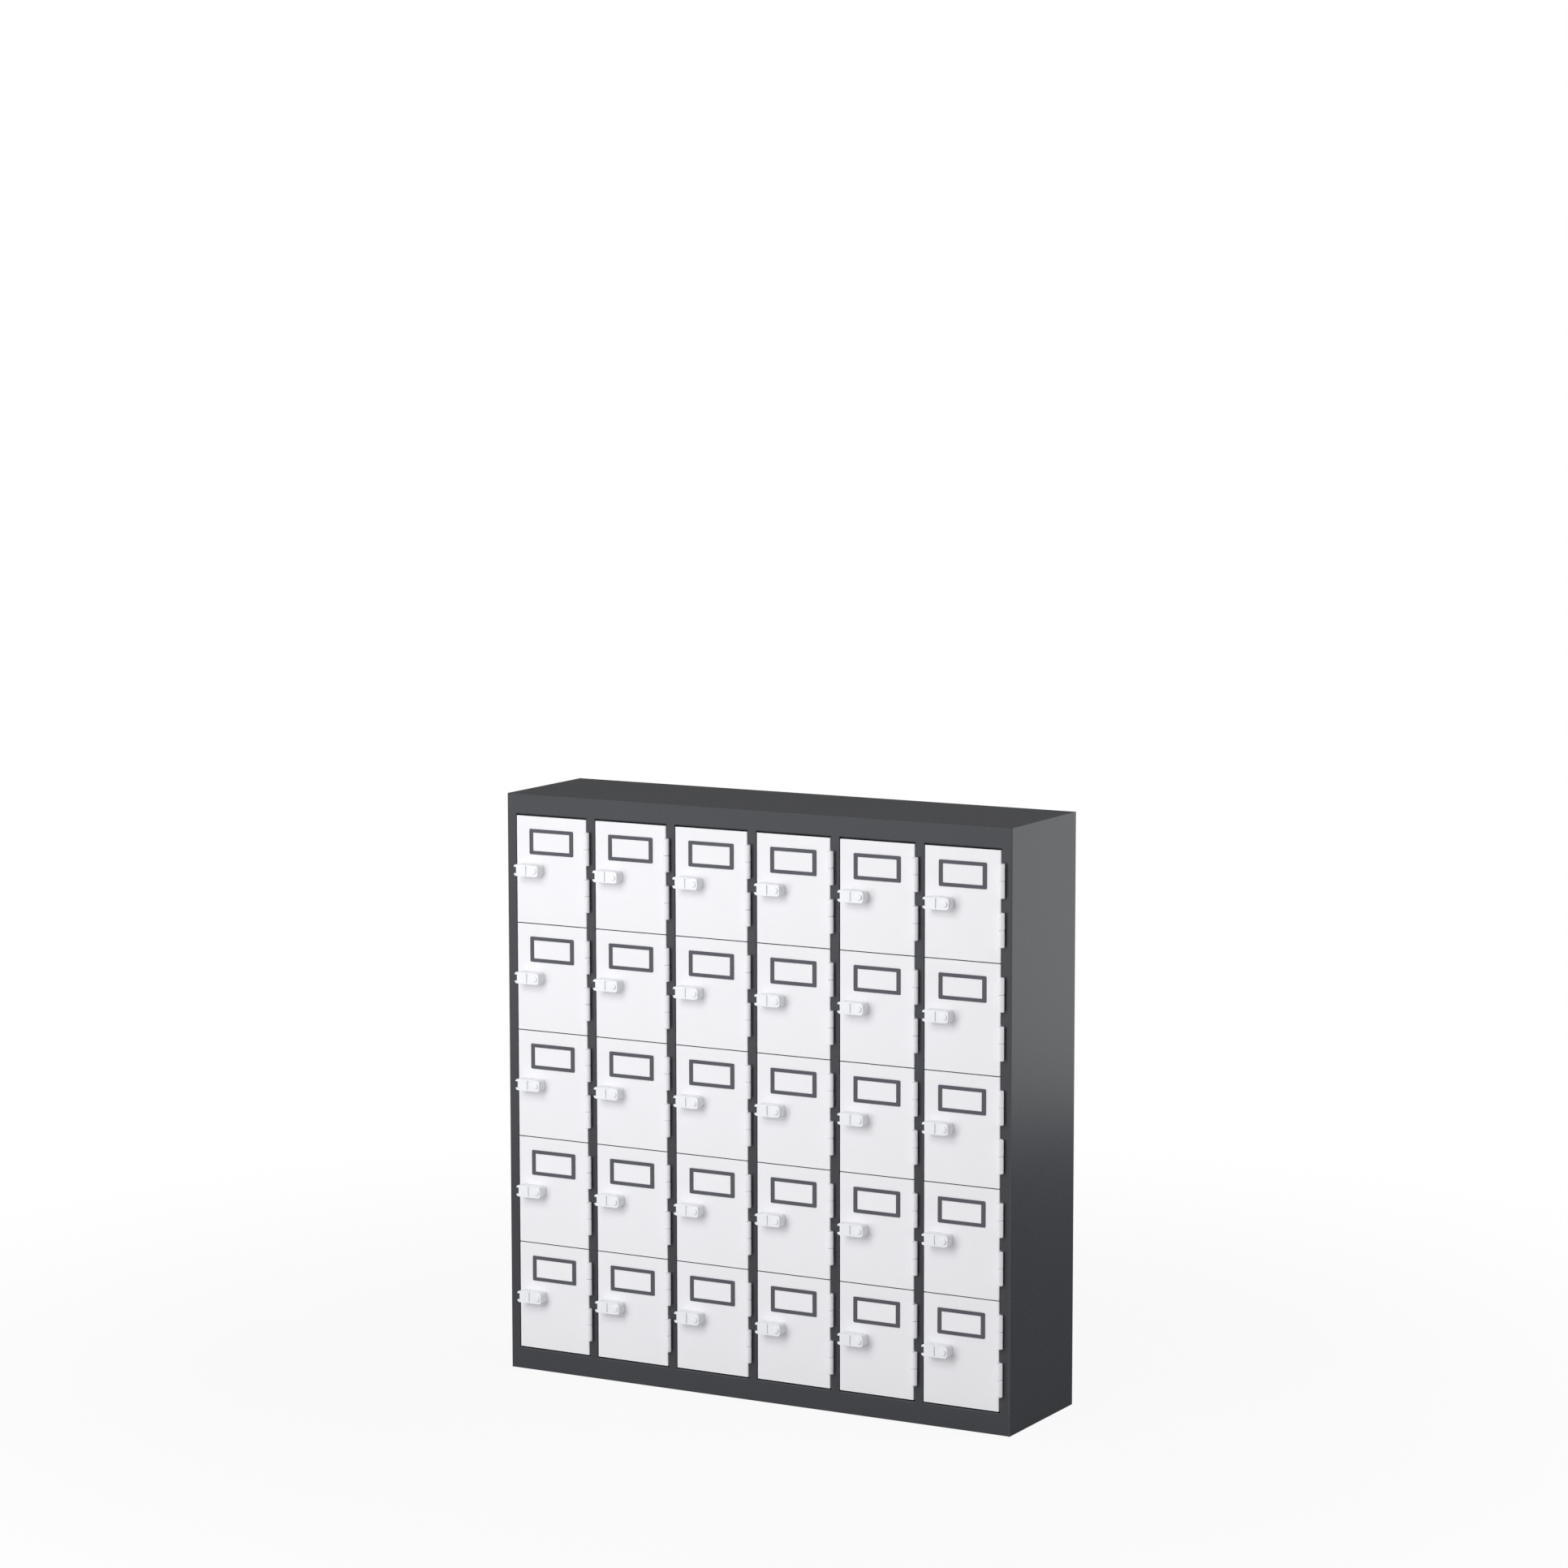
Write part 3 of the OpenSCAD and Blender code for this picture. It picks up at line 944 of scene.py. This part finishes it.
@dataclass(frozen=True)
class Latch:
    """A housing on the door, a lever in front of it and a cam behind the door."""

    stile_depth: float
    width: float = 40.4
    height: float = 18.6
    housing_depth: float = 15
    lever_t: float = 4.2
    lever_gap: float = 0.2
    inset: float = 9.6
    drop: float = 85.8
    corner_r: float = 5
    pivot_end: float = 6.8
    notch_h: float = 10.2
    boss_r: float = 4.6
    boss_h: float = 2
    groove_w: float = 1.7
    groove_l: float = 15.4
    groove_depth: float = 2.4
    groove_from_pivot: float = 15.1
    spindle_r: float = 4
    cam_t: float = 2
    cam_w: float = 12
    cam_hub_r: float = 7
    cam_grip: float = 5.3
    cam_gap: float = 0.5
    cam_round: float = 0.3
    nut_t: float = 3.5
    nut_corners: float = 15
    nut_chamfer: Point = (0.8, 0.5)
    spindle_end: float = 1.5
    spindle_root: float = 1
    seam: float = 0.1
    edge_round: float = 0.6
    lever_round: float = 0.42

    @property
    def pivot_x(self) -> float:
        """The distance of the pivot from the door's left edge."""
        return self.inset + self.width - self.pivot_end

    def _plate(self) -> list[Point]:
        """Returns the housing's outline about the pivot, round at its right end.

        Returns:
            The points, anticlockwise from the lower left corner.
        """
        left, right = self.pivot_end - self.width, self.pivot_end
        half, turn = self.height / 2, self.corner_r
        return [
            (left, -half),
            *arc((right - turn, turn - half), turn, -90, 0, steps=5),
            *arc((right - turn, half - turn), turn, 0, 90, steps=5),
            (left, half),
        ]

    def housing_mesh(self) -> Mesh:
        """Builds the housing, about the pivot at the door's face.

        Returns:
            Its mesh.
        """
        draft = Draft()
        draft.prism(self._plate(), -self.housing_depth, -self.seam, Plane.FRONT)
        draft.soften(self.edge_round, segments=3)
        return draft.mesh("latch_housing")

    def lever_mesh(self) -> Mesh:
        """Builds the lever with its boss and spindle, about the pivot.

        Returns:
            Their mesh.
        """
        left, half, notch = self.pivot_end - self.width, self.height / 2, self.notch_h / 2
        horn = half - notch
        outline = [
            (left, -notch),
            *arc((left, -notch), horn, 180, 270, steps=6),
            *self._plate()[1:-1],
            *arc((left, notch), horn, 90, 180, steps=6),
            (left, notch),
        ]
        groove_mid = -self.groove_from_pivot
        groove = rectangle(
            groove_mid - self.groove_w / 2,
            -self.groove_l / 2,
            groove_mid + self.groove_w / 2,
            self.groove_l / 2,
        )
        back = -self.housing_depth - self.lever_gap
        face = back - self.lever_t
        draft = Draft()
        draft.prism(outline, face, back, Plane.FRONT, [(groove, self.groove_depth)])
        draft.soften(self.lever_round, segments=3)
        top = face - self.boss_h
        rim = self.edge_round
        mid = rim * MID_SHARE
        draft.lathe(
            [
                (0, top),
                (self.boss_r - rim, top),
                (self.boss_r - mid, top + mid),
                (self.boss_r, top + rim),
                (self.boss_r, face + rim),
                (0, face + rim),
            ],
            (0, 0),
            Plane.FRONT,
            steps=40,
        )
        cam_back = self.stile_depth + self.cam_gap + self.cam_t
        root, end = back - self.spindle_root, cam_back + self.seam + self.nut_t + self.spindle_end
        draft.lathe(
            [
                (0, root),
                (self.spindle_r, root),
                (self.spindle_r, end - rim),
                (self.spindle_r - rim, end),
                (0, end),
            ],
            (0, 0),
            Plane.FRONT,
            steps=32,
        )
        return draft.mesh("latch_lever")

    def cam_mesh(self, latch_gap: float) -> Mesh:
        """Returns the mesh of the cam and its nut, about the pivot.

        Args:
            latch_gap: The gap between the door and the stile that the cam grips.

        Returns:
            The mesh.
        """
        reach = self.pivot_x + latch_gap + self.cam_grip
        half = self.cam_w / 2
        meets = math.degrees(math.acos(half / self.cam_hub_r))
        outline = [
            *arc((0, 0), self.cam_hub_r, 180 - meets, 360 + meets, steps=20),
            *arc((0, reach - half), half, 0, 180, steps=12),
        ]
        front = self.stile_depth + self.cam_gap
        draft = Draft()
        draft.prism(outline, front, front + self.cam_t, Plane.FRONT)
        draft.soften(self.cam_round, segments=2)
        inward, along = self.nut_chamfer
        hexagon = arc((0, 0), self.nut_corners / 2, 0, 300, steps=5)
        small = arc((0, 0), self.nut_corners / 2 - inward, 0, 300, steps=5)
        near = front + self.cam_t + self.seam
        far = near + self.nut_t
        rings = [(hexagon, near), (hexagon, far - along), (small, far)]
        draft.loft(rings, Plane.FRONT, closed=False)
        return draft.mesh("latch_cam")


@dataclass(frozen=True)
class WeldFill:
    """A weld, ground flush, in the groove where a stile meets the round of a rail."""

    round_r: float = 2.2
    end_gap: float = 0.4

    def mesh(self, name: str, stile_w: float, up: int) -> Mesh:
        """Returns the mesh, about the middle of the stile's end, on its face.

        Args:
            name: The mesh's name.
            stile_w: The width of the stile.
            up: 1 under the top rail, and -1 on the base rail.

        Returns:
            The mesh.
        """
        groove = arc((self.round_r, self.round_r), self.round_r, 180, 270, steps=6)
        half = stile_w / 2 - self.end_gap
        draft = Draft()
        draft.prism([(y, z * up) for y, z in [(0, 0), *groove]], -half, half, Plane.SIDE)
        return draft.mesh(name)


def place(
    mesh: Mesh, name: str, at: Vector, finish: Finish, body: str, node: str | None = None
) -> None:
    """Places a piece, says which CAD body it rides on, and hides the CAD node that it stands for.

    Args:
        mesh: The piece's mesh, shared by all pieces of its kind.
        name: The piece's name.
        at: Where the mesh's origin goes, in metres.
        finish: The piece's finish.
        body: The CAD body that the piece rides on.
        node: The CAD node that it stands for, if any.
    """
    if not mesh.materials:
        mesh.materials.append(finish.material())
    piece = add_object(name, mesh)
    piece.location = at
    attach(piece, body)
    if node:
        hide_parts(node)
    LOG.info("%s rides on %s", name, body)


@dataclass(frozen=True)
class Carcass:
    """The folded carcass, whose CAD nodes stay and are painted."""

    grid: Grid
    finishes: Finishes
    side_sheet_t: float = 1.2
    painted_white: tuple[str, ...] = ("frame_hinges",)

    def dress(self) -> None:
        """Paints the carcass's CAD nodes."""
        for node in frame["record"]["behaviour"]["bodies"]["carcass"]:
            white = node in self.painted_white
            finish = self.finishes.white if white else self.finishes.graphite
            piece = frame["nodes"][node]
            piece.data.materials.clear()
            piece.data.materials.append(finish.material())
            LOG.info("%s is %s", node, finish.name)

    def fill_welds(self) -> None:
        """Fills the groove at both ends of every stile."""
        grid, fill = self.grid, WeldFill()
        side_w = grid.side_stile_w - self.side_sheet_t
        side_x = grid.body_w / 2 - grid.side_stile_w + side_w / 2
        stiles = [(-side_x, side_w), (side_x, side_w)]
        stiles += [(grid.mid_stile_x(i), grid.mid_stile_w) for i in range(1, grid.cols)]
        rails = (("top", grid.body_h - grid.top_rail_h, 1), ("base", grid.base_rail_h, -1))
        for rail, z, up in rails:
            for number, (x, width) in enumerate(sorted(stiles), 1):
                name = f"weld_{rail}_{number}"
                at = Vector((x, -grid.body_d / 2, z)) * METRES
                mesh = fill.mesh(name, width, up)
                place(mesh, name, at, self.finishes.graphite, "carcass")


class Doors:
    """All doors with their hinges, card holders and latches."""

    def __init__(self, grid: Grid, finishes: Finishes) -> None:
        """Makes the meshes that all doors share.

        Args:
            grid: Where the doors are.
            finishes: Their finishes.
        """
        self.grid = grid
        self.finishes = finishes
        self.latch = Latch(grid.stile_depth)
        holder = CardHolder(grid.door_w, grid.door_h)
        self.leaf_mesh = DoorLeaf(grid.door_w, grid.door_h, grid.stile_depth).mesh()
        self.knuckle_mesh = Hinge(grid.door_w, grid.door_h, grid.stile_depth).mesh()
        self.holder_mesh = holder.frame_mesh()
        self.card_mesh = holder.card_mesh()
        self.housing_mesh = self.latch.housing_mesh()
        self.lever_mesh = self.latch.lever_mesh()
        self.cam_mesh = self.latch.cam_mesh(grid.latch_gap)

    def build(self) -> None:
        """Builds every door and its latch."""
        for row in range(1, self.grid.rows + 1):
            for col in range(1, self.grid.cols + 1):
                self._build_door(row, col)

    def _build_door(self, row: int, col: int) -> None:
        """Builds one door and its latch.

        Args:
            row: The door's row, counted from the top.
            col: Its column, counted from the left.
        """
        where = f"r{row}_c{col}"
        door = f"door_{where}"
        latch = f"latch_{where}" if row <= self.grid.turning_rows else door
        corner = self.grid.door_corner(row, col)
        pivot_z = self.grid.door_h - self.latch.drop
        pivot = corner + Vector((self.latch.pivot_x, 0, pivot_z)) * METRES
        coat = self.finishes
        pieces = [
            (self.leaf_mesh, "door_leaf", corner, coat.white, door),
            (self.knuckle_mesh, "door_knuckles", corner, coat.white, door),
            (self.holder_mesh, "card_holder", corner, coat.holder, door),
            (self.card_mesh, "card", corner, coat.card, door),
            (self.housing_mesh, "latch_housing", pivot, coat.latch_white, door),
            (self.lever_mesh, "latch_lever", pivot, coat.latch_white, latch),
            (self.cam_mesh, "latch_cam", pivot, coat.zinc, latch),
        ]
        for mesh, kind, at, finish, body in pieces:
            place(mesh, f"{kind}_{where}", at, finish, body, body)


@dataclass(frozen=True)
class Flag:
    """A flat glowing card of the studio that only reflections show; it paints a dim reflection, a
    painted shade, in the glossy coats.
    """

    name: str
    corners: tuple[Spot, ...]
    brightness: float

    def build(self) -> None:
        """Builds the card, which isn't part of the object."""
        material = bare_material(self.name)
        tree = material.node_tree
        glow = add_node(
            tree, "ShaderNodeEmission", {"Color": WHITE, "Strength": self.brightness}
        ).outputs[0]
        add_node(tree, "ShaderNodeOutputMaterial", links={"Surface": glow})
        mesh = bpy.data.meshes.new(self.name)
        mesh.from_pydata(self.corners, [], [tuple(range(len(self.corners)))])
        mesh.materials.append(material)
        card = add_object(self.name, mesh)
        for ray in ("camera", "diffuse", "transmission", "volume_scatter", "shadow"):
            setattr(card, f"visible_{ray}", False)


@dataclass(frozen=True)
class Studio:
    """The pale floor, the lights and the camera."""

    floor_colour: str = "#b9b9bb"
    floor_size: float = 400
    floor_drop: float = 0.0003
    plain_from: float = 0.7
    plain_at: float = 2.2
    near_white: float = 0.92
    world_strength: float = 0.41
    zenith_share: float = 0.68
    key_at: Spot = (-1.36, -2.82, 0.78)
    key_size: float = 1.4
    key_power: float = 23.6
    high_at: Spot = (-0.5, -2.9, 2.3)
    high_size: float = 1.9
    high_power: float = 55.5
    fill_at: Spot = (3.0, 1.6, 1.6)
    fill_size: float = 2.0
    fill_power: float = 72
    aim: Spot = (0, -0.1, 0.5)
    # The flags are glowing cards, not lamps: they paint dim reflections, as painted shade, in the
    # carcass's top, side and front
    flag_behind_x: Point = (-2.6, 0.55)
    flag_behind_y: float = 0.9
    flag_behind_z: Point = (0.7, 3.1)
    flag_behind_glow: float = 0.14
    flag_beside_near: tuple[Point, Point] = ((0.45, 0.4), (0.45, -0.11))
    flag_beside_heading: Point = (0.481, 0.866)
    flag_beside_reach: float = 2.66
    flag_beside_glow: float = 0.1
    flag_before_near: tuple[Point, Point] = ((0.45, -0.11), (-0.6, -0.11))
    flag_before_heading: Point = (-0.492, -0.871)
    flag_before_reach: float = 2.7
    flag_before_glow: float = 0.5
    flag_half_width: float = 2.0
    flag_height: float = 0.0005
    camera_at: Spot = (3.4559, -6.2333, 1.8483)
    camera_pitch: float = 0.12279
    camera_yaw: float = 0.50676
    camera_roll: float = 0.0012
    camera_reach: float = 1000
    lens: float = 104.77
    sensor_w: float = 36

    def build(self) -> None:
        """Builds the whole studio."""
        self._build_world()
        self._build_floor()
        self._build_flags()
        self._build_lamp("key", self.key_at, self.key_size, self.key_power)
        self._build_lamp("high", self.high_at, self.high_size, self.high_power)
        self._build_lamp("fill", self.fill_at, self.fill_size, self.fill_power)
        self._build_camera()
        bpy.context.scene.view_settings.view_transform = "Standard"

    def _seen(self, tree: NodeTree) -> NodeSocket:
        """Tells the rays that show the surroundings to the eye from those that light.

        Args:
            tree: The node tree.

        Returns:
            1 for camera, reflected and transmitted rays, and 0 for all others.
        """
        path = add_node(tree, "ShaderNodeLightPath").outputs
        seen = path["Is Camera Ray"]
        for other in ("Is Glossy Ray", "Is Transmission Ray"):
            seen = add_node(
                tree, "ShaderNodeMath", links={0: seen, 1: path[other]}, operation="MAXIMUM"
            ).outputs[0]
        return seen

    def _build_world(self) -> None:
        """Builds a surround that looks white, and whose own light is weaker overhead."""
        world = bpy.data.worlds.new("studio")
        bpy.context.scene.world = world
        world.use_nodes = True
        tree = world.node_tree
        tree.nodes.clear()
        heading = add_node(tree, "ShaderNodeTexCoord").outputs["Generated"]
        height = add_node(tree, "ShaderNodeSeparateXYZ", links={0: heading}).outputs["Z"]
        strength = add_node(
            tree,
            "ShaderNodeMapRange",
            {"To Min": self.world_strength, "To Max": self.world_strength * self.zenith_share},
            {"Value": height},
        ).outputs["Result"]
        lighting = add_node(
            tree, "ShaderNodeBackground", {"Color": WHITE}, {"Strength": strength}
        ).outputs[0]
        white = add_node(
            tree, "ShaderNodeBackground", {"Color": WHITE, "Strength": 1.0}
        ).outputs[0]
        both = add_node(
            tree, "ShaderNodeMixShader", links={0: self._seen(tree), 1: lighting, 2: white}
        ).outputs[0]
        add_node(tree, "ShaderNodeOutputWorld", links={"Surface": both})

    def _build_floor(self) -> None:
        """Builds a pale floor that keeps the shadow and fades into the white surround."""
        material = bare_material("pale_floor")
        tree = material.node_tree
        place = add_node(tree, "ShaderNodeTexCoord").outputs["Object"]
        distance = add_node(
            tree, "ShaderNodeVectorMath", links={0: place}, operation="LENGTH"
        ).outputs["Value"]
        share = add_node(
            tree,
            "ShaderNodeMapRange",
            {
                "From Min": self.plain_from,
                "From Max": self.plain_at,
                "To Min": self.near_white,
                "To Max": 1.0,
            },
            {"Value": distance},
            interpolation_type="SMOOTHSTEP",
        ).outputs["Result"]
        factor = add_node(
            tree, "ShaderNodeMath", links={0: share, 1: self._seen(tree)}, operation="MULTIPLY"
        ).outputs[0]
        lit = add_node(
            tree, "ShaderNodeBsdfDiffuse", {"Color": linear(self.floor_colour)}
        ).outputs[0]
        white = add_node(
            tree, "ShaderNodeEmission", {"Color": WHITE, "Strength": 1.0}
        ).outputs[0]
        both = add_node(
            tree, "ShaderNodeMixShader", links={0: factor, 1: lit, 2: white}
        ).outputs[0]
        add_node(tree, "ShaderNodeOutputMaterial", links={"Surface": both})
        half = self.floor_size / 2
        mesh = bpy.data.meshes.new("floor")
        corners = [(x, y, -self.floor_drop) for x, y in rectangle(-half, -half, half, half)]
        mesh.from_pydata(corners, [], [(0, 1, 2, 3)])
        mesh.materials.append(material)
        floor = add_object("floor", mesh)

    def _build_flags(self) -> None:
        """Builds the glowing cards that paint dim reflections, as painted shade, in the top, side
        and front.
        """
        (left, right), (low, high) = self.flag_behind_x, self.flag_behind_z
        behind = tuple((x, self.flag_behind_y, z) for x, z in rectangle(left, low, right, high))
        Flag("flag_behind", behind, self.flag_behind_glow).build()
        beside = self._floor_card(
            self.flag_beside_near, self.flag_beside_heading, self.flag_beside_reach
        )
        Flag("flag_beside", beside, self.flag_beside_glow).build()
        before = self._floor_card(
            self.flag_before_near, self.flag_before_heading, self.flag_before_reach
        )
        Flag("flag_before", before, self.flag_before_glow).build()

    def _floor_card(
        self, near: tuple[Point, Point], heading: Point, reach: float
    ) -> tuple[Spot, ...]:
        """Returns the corners of a card on the floor, which widens away from the object.

        Args:
            near: The left and right corner beside the object, in metres, seen from it.
            heading: The direction that the card runs in.
            reach: How far it runs.

        Returns:
            The four corners.
        """
        x, y = heading
        half = self.flag_half_width
        far = [(x * reach + y * side, y * reach - x * side) for side in (half, -half)]
        return tuple((a, b, self.flag_height) for a, b in (*near, *far))

    def _build_lamp(self, name: str, at: Spot, size: float, power: float) -> None:
        """Builds a square soft light that faces the object.

        Args:
            name: The lamp's name.
            at: Where it stands, in metres.
            size: The length of its side.
            power: Its power in watts.
        """
        data = bpy.data.lights.new(name, "AREA")
        data.shape = "SQUARE"
        data.size = size
        data.energy = power
        lamp = add_object(name, data)
        lamp.location = at
        facing = Vector(self.aim) - Vector(at)
        lamp.rotation_euler = facing.to_track_quat("-Z", "Y").to_euler()
        lamp.visible_camera = False
        lamp.visible_glossy = False

    def _build_camera(self) -> None:
        """Builds the camera at the photograph's place."""
        data = bpy.data.cameras.new("camera")
        data.sensor_width = self.sensor_w
        data.lens = self.lens
        data.clip_end = self.camera_reach
        camera = add_object("camera", data)
        camera.location = self.camera_at
        tilt = math.pi / 2 - self.camera_pitch
        camera.rotation_euler = (tilt, self.camera_roll, self.camera_yaw)
        bpy.context.scene.camera = camera


def main() -> None:
    """Dresses the part."""
    logging.basicConfig(level=logging.INFO, format="%(message)s")
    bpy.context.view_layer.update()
    finishes = Finishes()
    grid = Grid()
    carcass = Carcass(grid, finishes)
    carcass.dress()
    carcass.fill_welds()
    Doors(grid, finishes).build()
    Studio().build()


if __name__ == "__main__":
    main()
